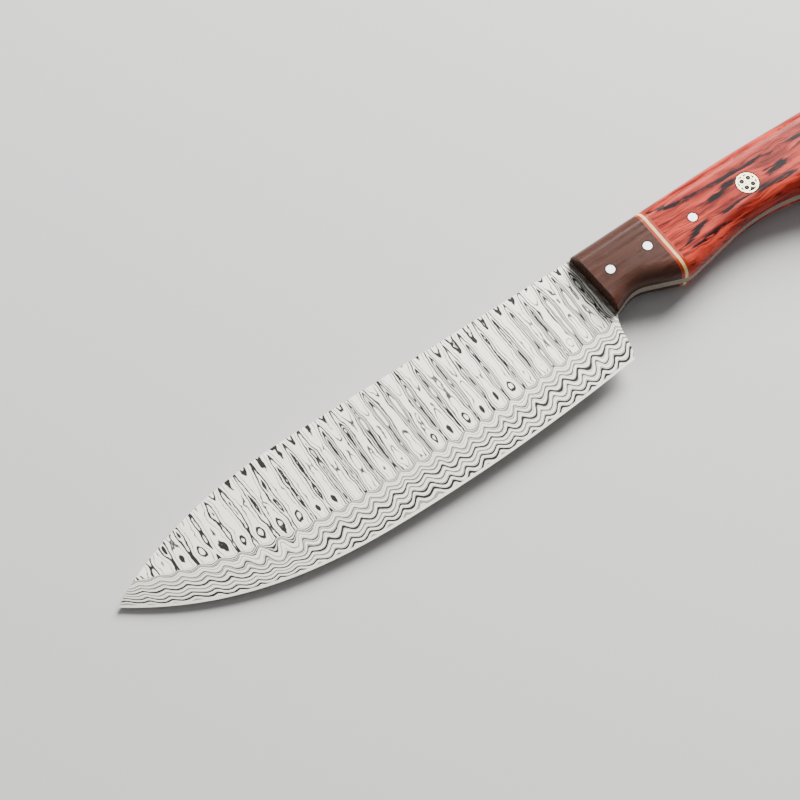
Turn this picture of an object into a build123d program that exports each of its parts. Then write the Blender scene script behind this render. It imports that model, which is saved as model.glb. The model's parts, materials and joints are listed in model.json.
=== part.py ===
from build123d import *
import math
import os

# Full-tang chef knife lying on its right side, as it rests on a board: the tip and the front of
# the handle touch the board, so the whole knife is pitched a little, tip down.
# In the knife's own plane, X runs from the front of the bolster to the butt, Y points to the
# spine and Z to the left side. The blade reaches to -X and its edge to -Y.

# ---- blade, in millimetres ----
blade_length = 190.0  # tip to the front of the bolster
blade_depth = 45.5  # spine to the lowest point of the edge
belly_length = 118.0  # tip to the lowest point of the edge
belly_curve = 3.15  # power of the sweep from the belly to the tip
heel_depth = 41.7  # spine to the heel corner
heel_forward = 4.6  # heel corner ahead of the bolster
heel_curve = 1.7  # power of the rise from the belly to the heel
heel_hollow = ((3.1, 10.5), (2.0, 4.2))  # the curve behind the heel: back from the corner, and up
tip_drop = 17.7  # tip below the line of the spine
spine_drop_length = 78.0  # the spine falls over this length to the tip
spine_curve = 2.4  # power of that fall
blade_thickness = 3.0  # over the polished flats
bevel_width = 14.4  # height of the main bevel
tip_narrowing = 0.5  # share of that height lost at the tip
tip_narrowing_curve = 6.0  # power of that loss towards the tip
edge_thickness = 0.1
sharpened_width = 0.9  # the small second bevel at the edge
sharpened_thickness = 0.5  # over the shoulder of the second bevel
ricasso_width = 1.5  # strip of full stock left ahead of the bolster

# ---- handle ----
stock_thickness = 3.2  # the tang keeps the thickness of the bar stock
handle_length = 127.0
side_thickness = 6.0  # bolster, spacers and scale on each side of the tang
side_wall = 0.8  # left straight under the rounding of the long edges and the butt
neck_depth = 25.2  # height of the tang at the bolster front
throat_depth = 21.3  # hollow under the bolster
throat_back = 11.0
throat_radius = 12.0
guard_depth = 28.6  # finger bump behind the spacers
grip_depth = 20.6  # hollow of the grip, before its long arc
grip_place = 0.56  # deepest point of the grip, as a share of the handle's length
grip_sweep = 0.62  # share of the run from the grip to the hook that the long arc takes up
butt_depth = 31.5  # hook of the butt
hook_run = 12.0  # flat bottom of the hook
hook_radius = 15.0
butt_corner = 13.0  # cut of the corner between the hook and the end
butt_top = 8.0  # the straight end stops this far below the spine
butt_slope = 12.0  # length of the slope from the back down to the end
butt_rise = 0.4  # top of that slope above the line of the spine
butt_radius = 12.0  # rounding of the corners beside the end
convex_ease = 4.0  # the other outward corners are this much larger than the side rounding
palm_rise = 1.5  # back of the handle above the line of the spine
palm_sweep = 0.14  # share of the run from there to the bolster that its arc takes up
front_lean = 1.1  # the bolster front leans back towards the edge
bolster_length = 26.7
spacer_thickness = 1.05

# ---- pins ----
pin_diameter = 3.2
pin_depth = 12.9  # line of the pins below the spine
front_bolster_pin_back = 6.7
rear_bolster_pin_back = 22.5
front_scale_pin_back = 42.0
rear_scale_pin_forward = 26.0  # from the butt
pin_clearance = 0.0  # pins are driven in and filed flush

# ---- mosaic pin: a brass tube round four small tubes, each round a wire, and four brass rods, one
# of them in the middle, all set in black resin; the gap towards the edge has no rod ----
mosaic_place = 0.52  # as a share of the handle's length
mosaic_diameter = 8.0
mosaic_wall = 0.6
inner_tube_wall = 0.5
resin_film = 0.08  # between neighbouring tubes and rods
wire_diameter = 0.5

# ---- worked out ----
half_stock = stock_thickness / 2
half_blade = blade_thickness / 2
half_handle = half_stock + side_thickness
side_rounding = side_thickness - side_wall
mosaic_back = mosaic_place * handle_length
spacer_stack = 3 * spacer_thickness
scale_front = bolster_length + spacer_stack
edge_length = blade_length - heel_forward
beyond = blade_length + handle_length  # past every outline

# The knife rests on its tip and on the front of the handle's underside. The origin lies on the
# board, under the middle of the knife.
pitch = math.atan((half_handle - half_blade) / blade_length)
knife = Plane(
    origin=(
        (blade_length - handle_length) / 2 * math.cos(pitch),
        (blade_depth - palm_rise) / 2,
        half_handle * math.cos(pitch),
    ),
    x_dir=(math.cos(pitch), 0, math.sin(pitch)),
    z_dir=(-math.sin(pitch), 0, math.cos(pitch)),
)
towards_butt = Axis(knife.origin, knife.x_dir)
towards_left = Axis(knife.origin, knife.z_dir)

os.makedirs("parts", exist_ok=True)


def finish(piece, name):
    """Name a finished piece and write it."""
    piece.part.label = name
    export_step(piece.part, f"parts/{name}.step")


# ---- outlines ----


def edge_depth(from_tip):
    """Depth of the cutting edge below the spine."""
    if from_tip < belly_length:
        sweep = (1 - from_tip / belly_length) ** belly_curve
        return blade_depth - (blade_depth - tip_drop) * sweep
    rise = ((from_tip - belly_length) / (edge_length - belly_length)) ** heel_curve
    return blade_depth - (blade_depth - heel_depth) * rise


def grind_depth(from_tip):
    """Depth of the line where the flat meets the main bevel."""
    ahead_of_belly = max(0, 1 - from_tip / belly_length)
    return edge_depth(from_tip) - bevel_width * (1 - tip_narrowing * ahead_of_belly**tip_narrowing_curve)


# Stations along the edge, closer together near the tip where it curves most.
station_count = 9
station_crowding = 1.5
stations = [edge_length * (i / station_count) ** station_crowding for i in range(station_count + 1)]

with BuildSketch() as blade_shape:
    with BuildLine():
        edge = Spline(*[(s - blade_length, -edge_depth(s)) for s in stations])
        quarters = [(i / 4, -tip_drop * (1 - i / 4) ** spine_curve) for i in range(5)]
        fall = Spline(
            *[(share * spine_drop_length - blade_length, y) for share, y in quarters],
            tangents=[(1, tip_drop * spine_curve / spine_drop_length), (1, 0)],
        )
        spine = Line(fall @ 1, (0, 0))
        front = Line(spine @ 1, (front_lean, -neck_depth))
        hollow = [(back - heel_forward, up - heel_depth) for back, up in heel_hollow]
        Spline(front @ 1, *hollow, edge @ 1)
    make_face()

# Straight runs with tangent arcs at the corners: neck, throat, finger bump, grip, hooked butt,
# and a back that is flush with the spine at the bolster and a little proud over the palm.
guard_back = bolster_length + spacer_stack
butt_corner_back = handle_length - butt_corner
guard = Vector(guard_back, -guard_depth)
grip = Vector(grip_place * handle_length, -grip_depth)
hook = Vector(butt_corner_back - hook_run, -butt_depth)
slope_top = Vector(handle_length - butt_slope, butt_rise)
palm = Vector(mosaic_back, palm_rise)
outward_radius = side_rounding + convex_ease


def sweep_radius(before, corner, after, share):
    """Radius of the arc that takes up this share of the run after a corner."""
    turn = math.radians((after - corner).get_angle(corner - before))
    return share * (after - corner).length / math.tan(turn / 2)


handle_corners = [
    ((throat_back, -throat_depth), throat_radius),
    (guard, outward_radius),
    (grip, sweep_radius(guard, grip, hook, grip_sweep)),
    (hook, hook_radius),
    ((butt_corner_back, -butt_depth), butt_radius),
    ((handle_length, -butt_depth + butt_corner), outward_radius),
    ((handle_length, -butt_top), outward_radius),
    (slope_top, butt_radius),
    (palm, sweep_radius(slope_top, palm, Vector(0, 0), palm_sweep)),
]
with BuildSketch() as handle_shape:
    with BuildLine():
        outline = FilletPolyline(
            (front_lean, -neck_depth),
            *[corner for corner, radius in handle_corners],
            (0, 0),
            radius=[radius for corner, radius in handle_corners],
        )
        Line(outline @ 1, outline @ 0)
    make_face()

# ---- places of the pins ----
pin_places = {
    "front_bolster_pin": front_bolster_pin_back,
    "rear_bolster_pin": rear_bolster_pin_back,
    "front_scale_pin": front_scale_pin_back,
    "rear_scale_pin": handle_length - rear_scale_pin_forward,
}

# Everything that the holes remove, as one tool for the tang and both sides.
with BuildPart() as drilling:
    with BuildSketch(knife):
        with Locations(*[(back_by, -pin_depth) for back_by in pin_places.values()]):
            Circle(pin_diameter / 2 + pin_clearance)
        with Locations((mosaic_back, -pin_depth)):
            Circle(mosaic_diameter / 2 + pin_clearance)
    extrude(amount=beyond, both=True)

# ---- blade and tang, one piece of steel ----

# The left bevel's cutter: at each station, the main bevel and the sharpened bevel in section.
# It starts ahead of the tip and ends behind the heel, and its outer corner clears the stock.
outside = 3.0
overrun = 0.2
under_edge = (edge_thickness - overrun * (sharpened_thickness - edge_thickness) / sharpened_width) / 2

with BuildPart() as left_grind:
    for station in [-outside] + stations[1:] + [blade_length + front_lean]:
        ridge = grind_depth(station)
        foot = edge_depth(station)
        slope = (half_blade - sharpened_thickness / 2) / (foot - sharpened_width - ridge)
        across = Plane(
            origin=knife.from_local_coords(Vector(station - blade_length, 0, 0)),
            x_dir=knife.y_dir,
            z_dir=knife.x_dir,
        )
        with BuildSketch(across):
            Polygon(
                (-ridge + (outside - half_blade) / slope, outside),
                (-foot + sharpened_width, sharpened_thickness / 2),
                (-foot - overrun, under_edge),
                (-foot - outside, under_edge),
                (-foot - outside, outside),
                align=None,
            )
    loft()

with BuildPart() as blade:
    with BuildSketch(knife):
        add(blade_shape.sketch)
        add(handle_shape.sketch)
    extrude(amount=half_stock, both=True)
    # The flats are ground and polished a little below the stock, up to the ricasso.
    lean_over = front_lean * beyond / neck_depth
    for side in (1, -1):
        with BuildSketch(knife.offset(side * half_blade)):
            Polygon(
                (-beyond, beyond),
                (-ricasso_width - lean_over, beyond),
                (-ricasso_width + lean_over, -beyond),
                (-beyond, -beyond),
                align=None,
            )
        extrude(amount=side * stock_thickness, mode=Mode.SUBTRACT)
    add(left_grind.part, mode=Mode.SUBTRACT)
    mirror(left_grind.part, about=knife, mode=Mode.SUBTRACT)
    add(drilling.part, mode=Mode.SUBTRACT)
finish(blade, "blade")

# ---- handle sides: shaped as one block on each side, then parted into their layers ----
with BuildPart() as left_side:
    with BuildSketch(knife.offset(half_stock)):
        add(handle_shape.sketch)
    extrude(amount=side_thickness)
    outer_edges = left_side.faces().sort_by(towards_left)[-1].edges()
    fillet(outer_edges.sort_by(towards_butt)[1:], radius=side_rounding)

with BuildPart() as right_side:
    mirror(left_side.part, about=knife)

layers = {
    "bolster": (-beyond, bolster_length),
    "front_spacer": (bolster_length, bolster_length + spacer_thickness),
    "middle_spacer": (bolster_length + spacer_thickness, scale_front - spacer_thickness),
    "rear_spacer": (scale_front - spacer_thickness, scale_front),
    "scale": (scale_front, beyond),
}
for side_name, side in (("left", left_side), ("right", right_side)):
    for layer_name, (start, end) in layers.items():
        with BuildPart() as layer:
            add(side.part)
            with BuildSketch(knife):
                with Locations(((start + end) / 2, 0)):
                    Rectangle(end - start, beyond)
            extrude(amount=beyond, both=True, mode=Mode.INTERSECT)
            add(drilling.part, mode=Mode.SUBTRACT)
        finish(layer, f"{side_name}_{layer_name}")

# ---- pins, filed flush with the rounded sides ----
with BuildPart() as handle_block:
    with BuildSketch(knife):
        add(handle_shape.sketch)
    extrude(amount=half_stock, both=True)
    add(left_side.part)
    add(right_side.part)

for pin_name, back_by in pin_places.items():
    with BuildPart() as pin:
        add(handle_block.part)
        with BuildSketch(knife):
            with Locations((back_by, -pin_depth)):
                Circle(pin_diameter / 2)
        extrude(amount=beyond, both=True, mode=Mode.INTERSECT)
    finish(pin, pin_name)

# ---- mosaic pin ----
mosaic_bore = mosaic_diameter / 2 - mosaic_wall
# Four equal tubes that fit a round bore with a film of resin round each.
tube_radius = (mosaic_bore - resin_film * (1 + math.sqrt(0.5))) / (1 + math.sqrt(2))
tube_spacing = 2 * tube_radius + resin_film
tube_circle = tube_spacing * math.sqrt(0.5)
tube_bore = tube_radius - inner_tube_wall
# The gap in the middle and the gaps at the wall all have room for the same rod.
rod_radius = tube_circle - tube_radius - resin_film
rod_places = [(0, 0), (tube_spacing, 0), (0, tube_spacing), (-tube_spacing, 0)]

with BuildSketch() as mosaic_tube_ring:
    Circle(mosaic_diameter / 2)
    Circle(mosaic_bore, mode=Mode.SUBTRACT)

with BuildSketch() as mosaic_resin_web:
    Circle(mosaic_bore)
    with PolarLocations(tube_circle, 4, start_angle=45):
        Circle(tube_radius, mode=Mode.SUBTRACT)
    with Locations(*rod_places):
        Circle(rod_radius, mode=Mode.SUBTRACT)

mosaic_pieces = {"mosaic_tube": mosaic_tube_ring.sketch, "mosaic_resin": mosaic_resin_web.sketch}
for number in range(1, 5):
    with BuildSketch() as inner_tube_ring:
        with PolarLocations(tube_circle, 1, start_angle=90 * number - 45):
            Circle(tube_radius)
            Circle(tube_bore, mode=Mode.SUBTRACT)
    with BuildSketch() as core_ring:
        with PolarLocations(tube_circle, 1, start_angle=90 * number - 45):
            Circle(tube_bore)
            Circle(wire_diameter / 2, mode=Mode.SUBTRACT)
    with BuildSketch() as wire_disc:
        with PolarLocations(tube_circle, 1, start_angle=90 * number - 45):
            Circle(wire_diameter / 2)
    with BuildSketch() as rod_disc:
        with Locations(rod_places[number - 1]):
            Circle(rod_radius)
    mosaic_pieces[f"mosaic_inner_tube_{number}"] = inner_tube_ring.sketch
    mosaic_pieces[f"mosaic_core_{number}"] = core_ring.sketch
    mosaic_pieces[f"mosaic_wire_{number}"] = wire_disc.sketch
    mosaic_pieces[f"mosaic_rod_{number}"] = rod_disc.sketch

for piece_name, shape in mosaic_pieces.items():
    with BuildPart() as mosaic_piece:
        add(handle_block.part)
        with BuildSketch(knife):
            with Locations((mosaic_back, -pin_depth)):
                add(shape)
        extrude(amount=beyond, both=True, mode=Mode.INTERSECT)
    finish(mosaic_piece, piece_name)
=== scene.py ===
import bpy
import json
import math
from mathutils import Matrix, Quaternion, Vector


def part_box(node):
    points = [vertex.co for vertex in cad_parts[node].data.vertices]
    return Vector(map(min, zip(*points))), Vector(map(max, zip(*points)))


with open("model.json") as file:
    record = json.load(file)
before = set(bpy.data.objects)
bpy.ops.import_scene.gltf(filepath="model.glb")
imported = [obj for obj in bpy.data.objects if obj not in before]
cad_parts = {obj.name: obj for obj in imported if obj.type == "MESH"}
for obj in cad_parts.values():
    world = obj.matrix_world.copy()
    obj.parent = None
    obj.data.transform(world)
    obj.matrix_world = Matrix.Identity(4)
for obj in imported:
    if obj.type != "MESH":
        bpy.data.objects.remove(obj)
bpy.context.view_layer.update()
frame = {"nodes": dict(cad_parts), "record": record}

# ---- Blade and tang ----
# One piece of steel, forge-welded from thin layers of two kinds. Grooves cut across the bar were
# forged flat again, and the ground and polished blade was etched, so that the layers show: as
# long rings on the flats and as zigzag lines down the bevels.

# The knife lies on its right side on the front of the handle, and the blade slopes down to the
# floor, so its own plane is pitched a little. Patterns are laid out in that plane, in millimetres:
# X towards the butt from the front of the bolster, Y towards the spine from the spine, Z out of
# the left side.
MM = 0.001
left_flat, right_flat = frame["record"]["mounts"]
flat_ahead_of_bolster = 90
flat_below_spine = 15
out_of_side = Vector(left_flat["axis"]).normalized()
towards_spine = Vector((0, 1, 0))
towards_butt = towards_spine.cross(out_of_side)
pitch = math.atan2(-out_of_side.x, out_of_side.z)
across_flats = (Vector(left_flat["pos_m"]) - Vector(right_flat["pos_m"])).length / MM
half_blade = round(across_flats, 2) / 2
knife_origin = Vector(left_flat["pos_m"]) + MM * (
    flat_ahead_of_bolster * towards_butt + flat_below_spine * towards_spine - half_blade * out_of_side
)


def on_knife(point):
    """Where a point of the model lies on the knife, in millimetres."""
    offset = (Vector(point) - knife_origin) / MM
    return Vector((offset.dot(towards_butt), offset.dot(towards_spine), offset.dot(out_of_side)))


class Flow:
    """A value, vector or colour on its way through a finish."""

    def __init__(self, finish, socket):
        self.finish = finish
        self.socket = socket

    def math(self, operation, *others):
        return self.finish.node("ShaderNodeMath", {"operation": operation}, [self, *others])

    def __add__(self, other):
        return self.math("ADD", other)

    __radd__ = __add__

    def __mul__(self, other):
        return self.math("MULTIPLY", other)

    __rmul__ = __mul__

    def __sub__(self, other):
        return self.math("SUBTRACT", other)

    def __rsub__(self, other):
        return self.finish.node("ShaderNodeMath", {"operation": "SUBTRACT"}, [other, self])

    def __truediv__(self, other):
        return self.math("DIVIDE", other)

    def __abs__(self):
        return self.math("ABSOLUTE")

    def output(self, name):
        """Another output of the same node."""
        return Flow(self.finish, self.socket.node.outputs[name])

    def step(self, low, high):
        """0 below low and 1 above high, with a soft passage, or the other way round."""
        sockets = {"Value": self, "From Min": low, "From Max": high}
        return self.finish.node("ShaderNodeMapRange", {"interpolation_type": "SMOOTHSTEP"}, sockets)

    def between(self, low, high):
        """The value that runs from low to high as this one runs from 0 to 1."""
        return self * (high - low) + low


class Finish:
    """A material, built node by node."""

    def __init__(self, name):
        self.material = bpy.data.materials.new(name)
        self.material.use_nodes = True
        self.tree = self.material.node_tree
        self.shader = self.tree.nodes["Principled BSDF"]

    def feed(self, socket, value):
        """Link a flow to a socket, or set it to a plain value."""
        if isinstance(value, Flow):
            self.tree.links.new(value.socket, socket)
        elif socket.type == "RGBA":
            socket.default_value = (*value, 1)
        else:
            socket.default_value = value

    def node(self, kind, settings, sockets):
        """A node of this type, with its settings made first, and its first output in use."""
        made = self.tree.nodes.new(kind)
        for name, value in settings.items():
            if name == "stops":
                made.color_ramp.elements[1].color = (0, 0, 0, 1)
                for position, shade in value:
                    made.color_ramp.elements.new(position).color = (shade, shade, shade, 1)
            else:
                setattr(made, name, value)
        if isinstance(sockets, list):
            sockets = dict(enumerate(sockets))
        for name, value in sockets.items():
            self.feed(made.inputs[name], value)
        in_use = [socket for socket in made.outputs if socket.enabled]
        return Flow(self, in_use[0])

    def place(self):
        """Where the surface is on the knife, in millimetres."""
        here = self.node("ShaderNodeTexCoord", {}, {}).output("Object")
        return self.node(
            "ShaderNodeMapping",
            {"vector_type": "TEXTURE"},
            {"Vector": here, "Location": knife_origin, "Rotation": (0, -pitch, 0), "Scale": (MM, MM, MM)},
        )

    def noise(self, place, size, detail=2.0, seed=0.0, roughness=0.5):
        """Soft noise from about 0 to 1, whose patches are of this size in millimetres."""
        scaled = self.node(
            "ShaderNodeMapping",
            {"vector_type": "TEXTURE"},
            {"Vector": place, "Location": (seed, seed * 1.7, seed * 0.6), "Scale": size},
        )
        sockets = {"Vector": scaled, "Scale": 1.0, "Detail": detail, "Roughness": roughness}
        return self.node("ShaderNodeTexNoise", {}, sockets)

    def chance(self, number):
        """A random value from 0 to 1 for each whole number."""
        return self.node("ShaderNodeTexWhiteNoise", {"noise_dimensions": "1D"}, {"W": number})

    def bands(self, value, low, high, spans):
        """0 outside the spans of the value and each span's own darkness inside it."""
        soft_share = 0.2
        stops = []
        for start, end, darkness in spans:
            soft = (end - start) * soft_share
            stops.append(((start - low) / (high - low), 0))
            stops.append(((start + soft - low) / (high - low), darkness))
            stops.append(((end - soft - low) / (high - low), darkness))
            stops.append(((end - low) / (high - low), 0))
        return self.node("ShaderNodeValToRGB", {"stops": stops}, [(value - low) / (high - low)])

    def blend(self, share, low, high):
        """The colour that runs from low to high as share runs from 0 to 1."""
        factor_input, low_input, high_input = 0, 6, 7
        sockets = {factor_input: share, low_input: low, high_input: high}
        return self.node("ShaderNodeMix", {"data_type": "RGBA"}, sockets)

    def bump(self, height, depth_mm):
        """A normal that stands for relief of this depth."""
        sockets = {"Height": height, "Strength": 1.0, "Distance": depth_mm * MM}
        return self.node("ShaderNodeBump", {}, sockets)

    def surface(self, **values):
        """Set or link the shader's own sockets, named with _ for a space."""
        for name, value in values.items():
            self.feed(self.shader.inputs[name.replace("_", " ")], value)

    def give(self, *nodes):
        """Put this finish on CAD nodes."""
        for name in nodes:
            mesh = frame["nodes"][name].data
            mesh.materials.clear()
            mesh.materials.append(self.material)


def etched_steel():
    finish = Finish("etched_steel")
    place = finish.place()
    x = finish.node("ShaderNodeSeparateXYZ", {}, [place])
    y = x.output("Y")
    depth = abs(x.output("Z"))
    flat_place = finish.node("ShaderNodeCombineXYZ", {}, [x, y, 0.0])

    # How far a point lies above the line where the flat meets the bevel. The edge is deepest
    # where the belly ends, curves up to the tip and rises a little to the heel. The tip lies in
    # the middle plane, so it is found along the knife from the box alone, to a tenth.
    blade_low = Vector(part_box("blade")[0])
    tip = round((blade_low.x - knife_origin.x) / towards_butt.x / MM, 1)
    deepest = round(on_knife(blade_low).y, 1)
    belly_length = 118
    heel_length = 67.4
    tip_rise = 27.8
    heel_rise = 3.8
    bevel_height = 14.4
    bevel_loss_at_tip = 7.2
    from_tip = x - tip
    belly = (1 - from_tip / belly_length).math("MAXIMUM", 0)
    heel = ((from_tip - belly_length) / heel_length).math("MAXIMUM", 0)
    rise = belly.math("POWER", 3.15) * tip_rise + heel.math("POWER", 1.7) * heel_rise
    above_edge = y - deepest - rise
    above_bevel = above_edge - bevel_height + belly.math("POWER", 6) * bevel_loss_at_tip

    # The layers follow the forged grooves: a rounded crest over each groove and a sharper
    # valley between two, bent by the unevenness of forging and lower towards the tip. They
    # rise again at the spine, and form a small dome at the end of each crest by the bevel.
    groove_pitch = 6.35
    valley_rounding = 0.07
    mean_crest = 0.75
    sway = finish.noise(flat_place, (10, 16, 1), seed=3.1) - 0.5
    wave = ((x + sway * 1.8) * (math.pi / groove_pitch)).math("COSINE")
    crest = (wave * wave + valley_rounding).math("SQRT")
    groove_depth = from_tip.step(5, 110).between(0.13, 0.19)
    broad = finish.noise(flat_place, (38, 30, 1), detail=1.0, seed=7.7) - 0.5
    patchy = finish.noise(flat_place, (3.2, 6.5, 1), detail=2.0, seed=1.3) - 0.5
    fine = finish.noise(flat_place, (0.7, 1.3, 1), detail=2.0, seed=5.9) - 0.5
    at_spine = (y + 9).math("MAXIMUM", 0) * 0.008
    dome_height = 0.035
    dome = (abs(above_bevel - 4.0) / 3.5).step(1.0, 0.0) * crest * dome_height
    on_bevel = above_bevel.step(0.0, -9.0)
    layer = (
        depth
        + (crest - mean_crest) * groove_depth
        + broad * on_bevel.between(0.15, 1.5)
        + patchy * on_bevel.between(0.10, 0.06)
        + fine * 0.014
        + at_spine
        + dome
    )

    # Each thin layer has its own width and darkness, and none lies open on the crests.
    layer_thickness = 0.072
    count = layer / layer_thickness
    number = count.math("FLOOR")
    from_middle = abs(count.math("FRACT") - 0.5) * 2
    thin = (from_middle - finish.chance(number) * 0.15).step(0.36, 0.16)
    below_crest = layer.step(1.53, 1.50)
    thin_darkness = thin * finish.chance(number + 31.7).between(0.15, 0.75) * below_crest

    # A few layers are bold. Start, end and darkness of those that run down the bevel, from a
    # broad grey one near the edge, and of those that outline the crests and lie open on them.
    flat_start = 1.3
    outermost_layer = 1.8
    bevel_bands = finish.bands(
        layer,
        0.0,
        flat_start,
        [(0.22, 0.36, 0.5), (0.42, 0.52, 1), (0.60, 0.67, 1), (0.78, 0.82, 0.9), (0.91, 0.98, 1)]
        + [(1.07, 1.11, 0.9), (1.21, 1.25, 0.8)],
    )
    flat_bands = finish.bands(
        layer,
        flat_start,
        outermost_layer,
        [(1.385, 1.408, 1), (1.418, 1.444, 1), (1.460, 1.490, 1)]
        + [(1.530, 1.540, 0.8), (1.582, 1.606, 1), (1.628, 1.640, 0.9), (1.655, 1.69, 1)],
    )
    darkness = thin_darkness.math("MAXIMUM", bevel_bands).math("MAXIMUM", flat_bands)

    # The sharpened edge is ground bare after etching. The bar from just ahead of the bolster back along
    # the tang stays dull, and its colour is darker than dull steel alone: painted shade for the tang's
    # edge, which lies in the shadow under the handle.
    bare = depth.step(0.27, 0.22) * y.step(-10.0, -14.0)
    bolster_slant = 0.0437
    dull_and_shaded = (x + y * bolster_slant).step(-1.75, -1.45)
    darkness = darkness * (1 - bare)
    mottling = finish.noise(place, (3.5, 3.5, 3.5), detail=4.0, seed=2.2)
    bright_steel = finish.blend(mottling, (0.92, 0.87, 0.76), (1.0, 0.965, 0.87))
    dark_steel = (0.020, 0.020, 0.019)
    # Dull stock, darkened further as painted shade on the tang's edge under the handle.
    dull_and_shaded_steel = (0.15, 0.13, 0.10)
    clean = (1 - darkness).math("POWER", 2.0)
    etched = finish.blend(clean, dark_steel, bright_steel)
    finish.surface(
        Base_Color=finish.blend(dull_and_shaded * 0.85, etched, dull_and_shaded_steel),
        Metallic=(1 - darkness) * 0.1,
        Roughness=darkness.between(0.36, 0.5) - bare * 0.1,
        Specular_IOR_Level=0.06,
        Normal=finish.bump(1 - darkness, 0.012),
    )
    return finish


etched_steel().give("blade")

# ---- Bolsters ----
# Two blocks of dark brown hardwood glued and pinned to the front of the tang, shaped with the
# handle and oiled to a satin shine. A dark line of glue shows round each pin.


def glue_line(finish, place, *pins):
    """1 in the thin line of glue round these pins, and 0 elsewhere."""
    x = finish.node("ShaderNodeSeparateXYZ", {}, [place])
    y = x.output("Y")
    line = 0.0
    for pin in pins:
        low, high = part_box(pin)
        middle = on_knife((Vector(low) + Vector(high)) / 2)
        radius = (high[1] - low[1]) / 2 / MM
        along = x - middle.x
        up = y - middle.y
        past_pin = (along * along + up * up).math("SQRT") - radius
        line = past_pin.step(0.6, 0.3).math("MAXIMUM", line)
    return line


def bolster_wood():
    finish = Finish("bolster_wood")
    place = finish.place()
    dark_brown = (0.030, 0.011, 0.007)
    light_brown = (0.068, 0.026, 0.017)
    grey_brown = (0.052, 0.023, 0.017)
    near_black = (0.010, 0.006, 0.005)
    grain = finish.noise(place, (22, 1.4, 1.4), detail=5.0, seed=4.0, roughness=0.6)
    cloud = finish.noise(place, (9, 5, 5), detail=2.0, seed=8.0)
    pores = finish.noise(place, (2.4, 0.22, 0.22), detail=1.0, seed=1.0).step(0.66, 0.74)
    base = finish.blend(grain.step(0.3, 0.7), dark_brown, light_brown)
    tinted = finish.blend(cloud.step(0.35, 0.75), base, grey_brown)
    glue = glue_line(finish, place, "front_bolster_pin", "rear_bolster_pin")
    dark = (pores * 0.6).math("MAXIMUM", glue * 0.9)
    finish.surface(
        Base_Color=finish.blend(dark, tinted, near_black),
        Roughness=grain.between(0.22, 0.3),
        Specular_IOR_Level=0.1,
        Normal=finish.bump(grain - pores * 0.6, 0.03),
    )
    return finish


bolster_wood().give("left_bolster", "right_bolster")

# ---- Spacers ----
# Three sheets of dyed fibre between each bolster and its scale: cream between two of
# orange-red. They are glued in the stack and polished down with the wood.


def spacer_sheet(name, colour, darker):
    finish = Finish(name)
    place = finish.place()
    fibre = finish.noise(place, (0.5, 3.0, 0.5), detail=3.0, seed=6.0)
    finish.surface(
        Base_Color=finish.blend(fibre, darker, colour),
        Roughness=fibre.between(0.22, 0.32),
        Specular_IOR_Level=0.2,
    )
    return finish


red_sheet = spacer_sheet("red_spacer", (0.34, 0.035, 0.008), (0.20, 0.016, 0.004))
cream_sheet = spacer_sheet("cream_spacer", (0.68, 0.50, 0.24), (0.54, 0.36, 0.14))
for side in ("left", "right"):
    red_sheet.give(f"{side}_front_spacer", f"{side}_rear_spacer")
    cream_sheet.give(f"{side}_middle_spacer")

# ---- Scales ----
# The grip: two slabs of dyed, pressed layered wood, vivid red with black streaks that run
# lengthwise, glued and pinned to the tang, rounded and polished to a gloss.


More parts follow.
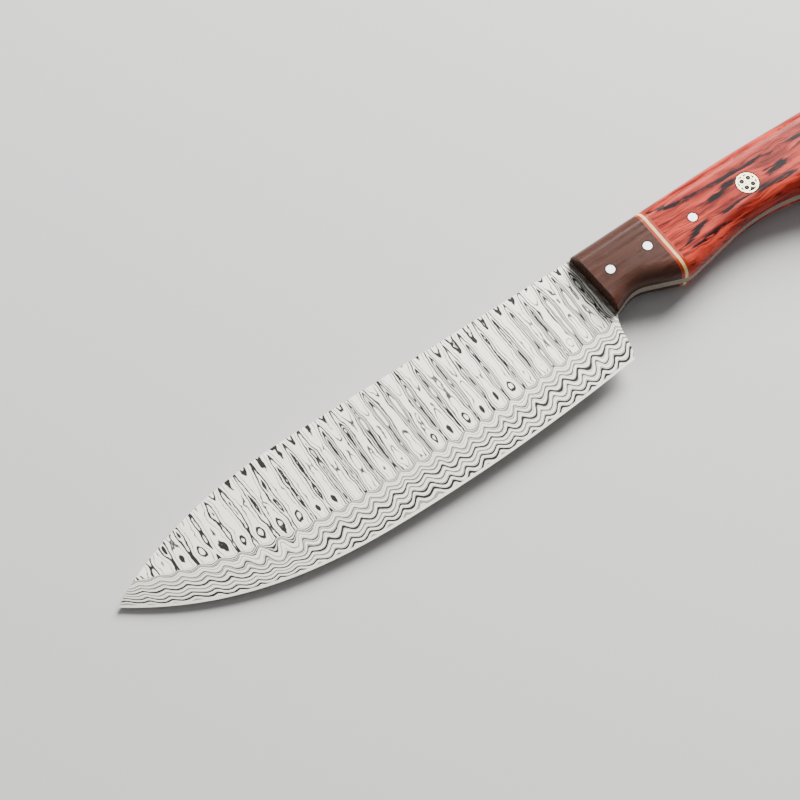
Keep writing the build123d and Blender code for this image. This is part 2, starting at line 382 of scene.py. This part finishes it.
def scale_wood():
    finish = Finish("scale_wood")
    place = finish.place()
    warp = finish.noise(place, (20, 6, 6), detail=3.0, seed=2.0) - 0.5
    x = finish.node("ShaderNodeSeparateXYZ", {}, [place])
    y = x.output("Y")
    z = x.output("Z")
    bent = finish.node("ShaderNodeCombineXYZ", {}, [x, y + warp * 6.0, z + warp * 3.0])
    streak = finish.noise(bent, (30, 2.6, 4.5), detail=4.0, seed=5.0, roughness=0.62)
    jagged = finish.noise(place, (7, 1.0, 2.5), detail=3.0, seed=9.0, roughness=0.6) - 0.5
    fibre = finish.noise(bent, (9, 0.28, 0.8), detail=2.0, seed=20.0) - 0.5
    black = streak.step(0.64, 0.68)
    # The large streaks: middle, half length, half width and slope of each.
    for across, up, half_length, half_width, slope in (
        (38, -4.6, 9, 1.0, -0.30),
        (66, -6.9, 26, 0.9, -0.06),
        (53, -11.2, 10, 1.2, 0.03),
        (60, -9.6, 5, 1.9, 0.05),
        (39, -18.2, 9, 1.1, 0.28),
        (56, -17.2, 12, 0.8, 0.05),
        (74, -17.8, 13, 1.3, -0.08),
        (79, -13.6, 7, 1.9, -0.02),
        (42, -22.0, 12, 1.0, 0.06),
        (96, -8.0, 12, 1.2, -0.03),
        (106, -17.0, 13, 1.6, -0.10),
        (96, -22.5, 14, 1.1, -0.12),
    ):
        along = (x - across) / half_length
        off = (y + warp * 3.0 - (x - across) * slope - up) / half_width
        patch = 1 - along * along - off * off + jagged * 3.6 + fibre * 1.5
        black = black.math("MAXIMUM", patch.step(-0.1, 0.8))
    glue = glue_line(finish, place, "front_scale_pin", "rear_scale_pin", "mosaic_tube")
    black = black.math("MAXIMUM", glue * 0.9)
    # The red between them: two reds, soft dark shades and fine dark lines of the layers.
    deep_red = (0.21, 0.014, 0.009)
    vivid_red = (0.42, 0.045, 0.026)
    dark_red = (0.07, 0.004, 0.003)
    line_red = (0.03, 0.002, 0.002)
    dye_black = (0.005, 0.003, 0.0035)
    glow = finish.noise(bent, (14, 2.2, 3.0), detail=3.0, seed=15.0)
    lines = finish.noise(bent, (60, 0.55, 0.9), detail=1.0, seed=12.0).step(0.56, 0.68)
    red = finish.blend(glow.step(0.3, 0.65), deep_red, vivid_red)
    shaded = finish.blend(streak.step(0.44, 0.62) * 0.75, red, dark_red)
    lined = finish.blend(lines * 0.75, shaded, line_red)
    finish.surface(
        Base_Color=finish.blend(black, lined, dye_black),
        Roughness=streak.between(0.22, 0.32),
        Specular_IOR_Level=0.07,
        Normal=finish.bump(streak, 0.015),
    )
    return finish


scale_wood().give("left_scale", "right_scale")

# ---- Plain pins ----
# Four stainless rods through the bolsters and the scales, peened in their holes, filed flush
# with the wood and polished.


def pin_steel():
    finish = Finish("pin_steel")
    place = finish.place()
    scratches = finish.noise(place, (1.8, 0.05, 1.8), detail=2.0, seed=3.0)
    finish.surface(
        Base_Color=finish.blend(scratches, (0.80, 0.80, 0.80), (0.93, 0.93, 0.92)),
        Metallic=0.3,
        Roughness=scratches.between(0.25, 0.38),
        Normal=finish.bump(scratches, 0.003),
    )
    return finish


pin_steel().give("front_bolster_pin", "rear_bolster_pin", "front_scale_pin", "rear_scale_pin")

# ---- Mosaic pin ----
# A decorative pin: a brass tube packed with four small tubes, each round a dark steel wire, and
# four brass rods, with black resin poured in between. It is glued in and filed flush.


def brass_tube():
    finish = Finish("brass")
    place = finish.place()
    scratches = finish.noise(place, (0.05, 1.6, 1.6), detail=2.0, seed=6.0)
    finish.surface(
        Base_Color=finish.blend(scratches, (0.80, 0.68, 0.38), (0.93, 0.84, 0.55)),
        Metallic=0.4,
        Roughness=scratches.between(0.25, 0.38),
        Normal=finish.bump(scratches, 0.003),
    )
    return finish


def black_resin():
    finish = Finish("black_resin")
    place = finish.place()
    dust = finish.noise(place, (0.4, 0.4, 0.4), detail=2.0, seed=2.0)
    finish.surface(
        Base_Color=finish.blend(dust, (0.003, 0.003, 0.0035), (0.010, 0.0095, 0.009)),
        Roughness=dust.between(0.15, 0.25),
        Specular_IOR_Level=0.1,
    )
    return finish


def wire_steel():
    finish = Finish("wire_steel")
    place = finish.place()
    scratches = finish.noise(place, (0.05, 0.8, 0.8), detail=2.0, seed=4.0)
    finish.surface(
        Base_Color=finish.blend(scratches, (0.010, 0.010, 0.012), (0.030, 0.030, 0.035)),
        Metallic=0.3,
        Roughness=scratches.between(0.3, 0.45),
        Specular_IOR_Level=0.2,
    )
    return finish


brass = brass_tube()
brass.give("mosaic_tube")
resin = black_resin()
resin.give("mosaic_resin")
dark_wire = wire_steel()
for number in range(1, 5):
    brass.give(f"mosaic_inner_tube_{number}", f"mosaic_rod_{number}")
    resin.give(f"mosaic_core_{number}")
    dark_wire.give(f"mosaic_wire_{number}")

# ---- Floor, light and camera ----
# A plain pale floor, one large soft light from the far side, low enough for its gloss to miss
# the camera, and a pale surround.
bpy.ops.object.select_all(action="DESELECT")
bpy.ops.mesh.primitive_plane_add(size=6, location=(0, 0, 0))
floor = bpy.context.object
floor.name = "floor"
pale = Finish("pale_floor")
pale.surface(Base_Color=(0.47, 0.46, 0.45), Roughness=0.9, Specular_IOR_Level=0.1)
floor.data.materials.append(pale.material)


def direction(azimuth, elevation):
    """Towards this azimuth, from the front round to the right, and elevation in degrees."""
    turn = math.radians(azimuth)
    rise = math.radians(elevation)
    return Vector(
        (math.sin(turn) * math.cos(rise), -math.cos(turn) * math.cos(rise), math.sin(rise))
    )


key_away = direction(122, 34)
key_data = bpy.data.lights.new("key", "AREA")
key_data.size = 0.9
key_data.energy = 125
key = bpy.data.objects.new("key", key_data)
bpy.context.scene.collection.objects.link(key)
key.location = key_away * 1.5
key.rotation_mode = "QUATERNION"
key.rotation_quaternion = (-key_away).to_track_quat("-Z", "Y")

world = bpy.data.worlds.new("surround")
bpy.context.scene.world = world
world.use_nodes = True
background = world.node_tree.nodes["Background"]
background.inputs["Color"].default_value = (0.95, 0.97, 1.0, 1)
background.inputs["Strength"].default_value = 0.38

# The camera looks down at the blade from the edge side, turned so that the tip points to the
# lower left and the butt to the upper right.
aim_ahead_of_bolster = 77.3
aim_below_spine = 9.9
aim = knife_origin + MM * (
    half_blade * out_of_side - aim_ahead_of_bolster * towards_butt - aim_below_spine * towards_spine
)
camera_away = direction(-38.0, 63.606)
camera_roll = math.radians(3.392)
camera_data = bpy.data.cameras.new("camera")
camera_data.lens = 83.25
camera = bpy.data.objects.new("camera", camera_data)
bpy.context.scene.collection.objects.link(camera)
camera.location = aim + camera_away * 0.6063
camera.rotation_mode = "QUATERNION"
facing = (-camera_away).to_track_quat("-Z", "Y")
camera.rotation_quaternion = facing @ Quaternion((0, 0, 1), camera_roll)
bpy.context.scene.camera = camera
